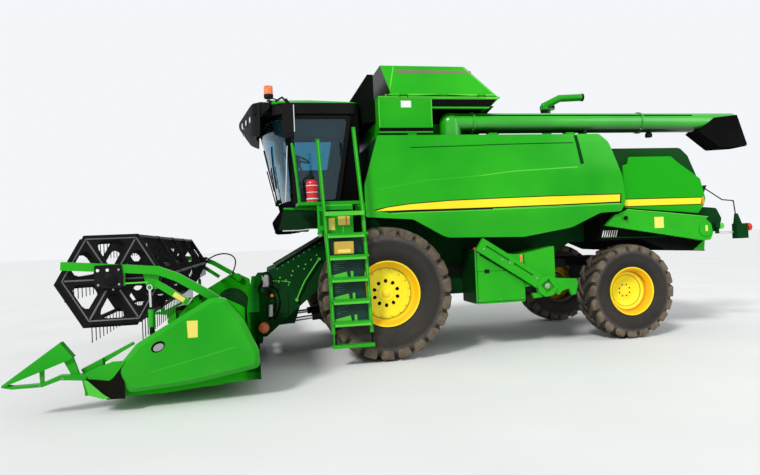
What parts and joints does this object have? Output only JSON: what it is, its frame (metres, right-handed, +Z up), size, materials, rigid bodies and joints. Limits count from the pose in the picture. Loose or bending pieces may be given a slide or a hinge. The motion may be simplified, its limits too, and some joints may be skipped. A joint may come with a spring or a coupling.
{
  "type": "combine harvester",
  "caption": "Self-propelled combine harvester with its grain header, reel, cab, grain tank, unloading auger, straw chopper and hinged covers, standing on its wheels.",
  "frame": {"origin": "on the ground under the middle of the whole machine, between the long divider tips and the rear lamps", "axes": "+X forward, +Y to the machine's left, +Z up; the front axle's middle is at X = 0.98 m"},
  "size_m": [10.06, 5.88, 4],
  "materials": {
    "green_paint": "glossy sprayed enamel with dust in the corners",
    "dark_green_paint": "satin enamel, dusty",
    "yellow_paint": "satin enamel",
    "frame_paint": "dark satin enamel, dusty and worn",
    "black_paint": "satin black enamel",
    "red_paint": "gloss enamel",
    "black_plastic": "moulded, fine grain",
    "amber_lens": "clear moulded lens",
    "lamp_lens": "clear lamp glass",
    "tinted_glass": "tinted safety glass",
    "seat_fabric": "woven cover",
    "black_rubber": "moulded rubber",
    "tyre": "moulded rubber, dusty between the lugs",
    "bare_steel": "worn bare steel",
    "chromed_rod": "hard chromed and polished"
  },
  "bodies": {
    "chassis": {"front_axle": "frame_paint", "main_frame": "black_paint", "separator_body": "dark_green_paint", "grain_tank": "green_paint", "tank_screen": "black_paint", "rear_hood": "green_paint", "straw_chopper": "black_paint", "chopper_covers": "green_paint", "engine_block": "bare_steel", "engine_deck": "green_paint", "cab_shell": "black_paint", "cab_roof": "green_paint", "cab_visor": "black_plastic", "cab_glass": "tinted_glass", "driver_seat": "seat_fabric", "steering_console": "black_plastic", "platform": "green_paint", "fire_extinguisher": "red_paint", "mirrors": "black_plastic", "beacon": "amber_lens", "work_lamps": "lamp_lens", "service_boxes": "green_paint", "slotted_beam": "green_paint", "rear_axle": "frame_paint", "tail_frame": "dark_green_paint"},
    "door": {"cab_door": "black_paint", "cab_door_glass": "tinted_glass"},
    "ladder": {"access_ladder": "green_paint"},
    "lid_left": {"tank_lid_left": "green_paint"},
    "lid_right": {"tank_lid_right": "green_paint"},
    "panel_left": {"left_side_panel": "green_paint"},
    "panel_right": {"right_side_panel": "green_paint"},
    "auger": {"unloading_auger": "green_paint", "auger_spout": "black_rubber"},
    "front_wheel_left": {"front_tyre_left": "tyre", "front_rim_left": "yellow_paint"},
    "front_wheel_right": {"front_tyre_right": "tyre", "front_rim_right": "yellow_paint"},
    "knuckle_left": {"steering_knuckle_left": "frame_paint"},
    "knuckle_right": {"steering_knuckle_right": "frame_paint"},
    "rear_wheel_left": {"rear_tyre_left": "tyre", "rear_rim_left": "yellow_paint"},
    "rear_wheel_right": {"rear_tyre_right": "tyre", "rear_rim_right": "yellow_paint"},
    "header": {"feeder_house": "dark_green_paint", "header_frame": "green_paint", "end_shields": "green_paint", "crop_dividers": "green_paint", "cutter_bar": "bare_steel"},
    "intake": {"intake_auger": "dark_green_paint"},
    "arms": {"reel_arms": "green_paint"},
    "reel": {"reel": "black_paint"},
    "lift_barrel_pair": {"lift_barrels": "black_paint"},
    "lift_rod_pair": {"lift_rods": "chromed_rod"},
    "reel_barrel_pair": {"reel_cylinder_barrels": "black_paint"},
    "reel_rod_pair": {"reel_cylinder_rods": "chromed_rod"}
  },
  "joints": [
    {"name": "feeder_lift", "type": "hinge", "parent": "chassis", "child": "header", "pos_m": [1.48, 0, 1.6], "axis": [0, -1, 0], "range_deg": [-1.5, 20]},
    {"name": "reel_lift", "type": "hinge", "parent": "header", "child": "arms", "pos_m": [2.98, 0, 0.98], "axis": [0, -1, 0], "range_deg": [-12, 10]},
    {"name": "reel_spin", "type": "hinge", "parent": "arms", "child": "reel", "pos_m": [4.07, 0, 1.3], "axis": [0, 1, 0], "continuous": true},
    {"name": "intake_spin", "type": "hinge", "parent": "header", "child": "intake", "pos_m": [3.1, 0, 0.52], "axis": [0, 1, 0], "continuous": true},
    {"name": "lift_swing", "type": "hinge", "parent": "chassis", "child": "lift_barrel_pair", "pos_m": [1.23, 0, 0.58], "axis": [0, -1, 0], "range_deg": [-1.2, 15]},
    {"name": "lift_extend", "type": "slide", "parent": "lift_barrel_pair", "child": "lift_rod_pair", "axis": [0.9965, 0, -0.0839], "range_m": [-0.027, 0.354]},
    {"name": "reel_cylinder_swing", "type": "hinge", "parent": "header", "child": "reel_barrel_pair", "pos_m": [3.7, 0, 0.6], "axis": [0, -1, 0], "range_deg": [-4.6, 3.9]},
    {"name": "reel_cylinder_extend", "type": "slide", "parent": "reel_barrel_pair", "child": "reel_rod_pair", "axis": [0.0167, 0, 0.9999], "range_m": [-0.153, 0.128]},
    {"name": "front_wheel_left_spin", "type": "hinge", "parent": "chassis", "child": "front_wheel_left", "pos_m": [0.98, 1.215, 0.88], "axis": [0, 1, 0], "continuous": true},
    {"name": "front_wheel_right_spin", "type": "hinge", "parent": "chassis", "child": "front_wheel_right", "pos_m": [0.98, -1.215, 0.88], "axis": [0, 1, 0], "continuous": true},
    {"name": "steer_left", "type": "hinge", "parent": "chassis", "child": "knuckle_left", "pos_m": [-2.69, 0.78, 0.688], "axis": [0, 0, 1], "range_deg": [-30, 30]},
    {"name": "steer_right", "type": "hinge", "parent": "chassis", "child": "knuckle_right", "pos_m": [-2.69, -0.78, 0.688], "axis": [0, 0, 1], "range_deg": [-30, 30]},
    {"name": "rear_wheel_left_spin", "type": "hinge", "parent": "knuckle_left", "child": "rear_wheel_left", "pos_m": [-2.69, 1.09, 0.688], "axis": [0, 1, 0], "continuous": true},
    {"name": "rear_wheel_right_spin", "type": "hinge", "parent": "knuckle_right", "child": "rear_wheel_right", "pos_m": [-2.69, -1.09, 0.688], "axis": [0, 1, 0], "continuous": true},
    {"name": "auger_swing", "type": "hinge", "parent": "chassis", "child": "auger", "pos_m": [-0.07, 1.15, 3.16], "axis": [0, 0, -1], "range_deg": [0, 90]},
    {"name": "ladder_swing", "type": "hinge", "parent": "chassis", "child": "ladder", "pos_m": [1.848, 1.567, 1.9], "axis": [0, 0, -1], "range_deg": [0, 95]},
    {"name": "door_swing", "type": "hinge", "parent": "chassis", "child": "door", "pos_m": [2.145, 1.001, 2.7], "axis": [0, 0, -1], "range_deg": [0, 50]},
    {"name": "lid_left_fold", "type": "hinge", "parent": "chassis", "child": "lid_left", "pos_m": [0.08, 1.352, 3.512], "axis": [-1, 0, 0], "range_deg": [0, 90]},
    {"name": "lid_right_fold", "type": "hinge", "parent": "chassis", "child": "lid_right", "pos_m": [0.08, -1.352, 3.512], "axis": [1, 0, 0], "range_deg": [0, 90]},
    {"name": "panel_left_swing", "type": "hinge", "parent": "chassis", "child": "panel_left", "pos_m": [-0.62, 1.345, 2.983], "axis": [1, 0, 0], "range_deg": [0, 70]},
    {"name": "panel_right_swing", "type": "hinge", "parent": "chassis", "child": "panel_right", "pos_m": [-0.62, -1.345, 2.983], "axis": [-1, 0, 0], "range_deg": [0, 70]}
  ],
  "couplings": [
    {"joint": "lift_swing", "follows": "feeder_lift", "ratio": 0.7495},
    {"joint": "lift_extend", "follows": "feeder_lift", "m_per_rad": 1.0133},
    {"joint": "reel_cylinder_swing", "follows": "reel_lift", "ratio": 0.3824},
    {"joint": "reel_cylinder_extend", "follows": "reel_lift", "m_per_rad": 0.7275},
    {"joint": "steer_right", "follows": "steer_left", "ratio": 1}
  ]
}
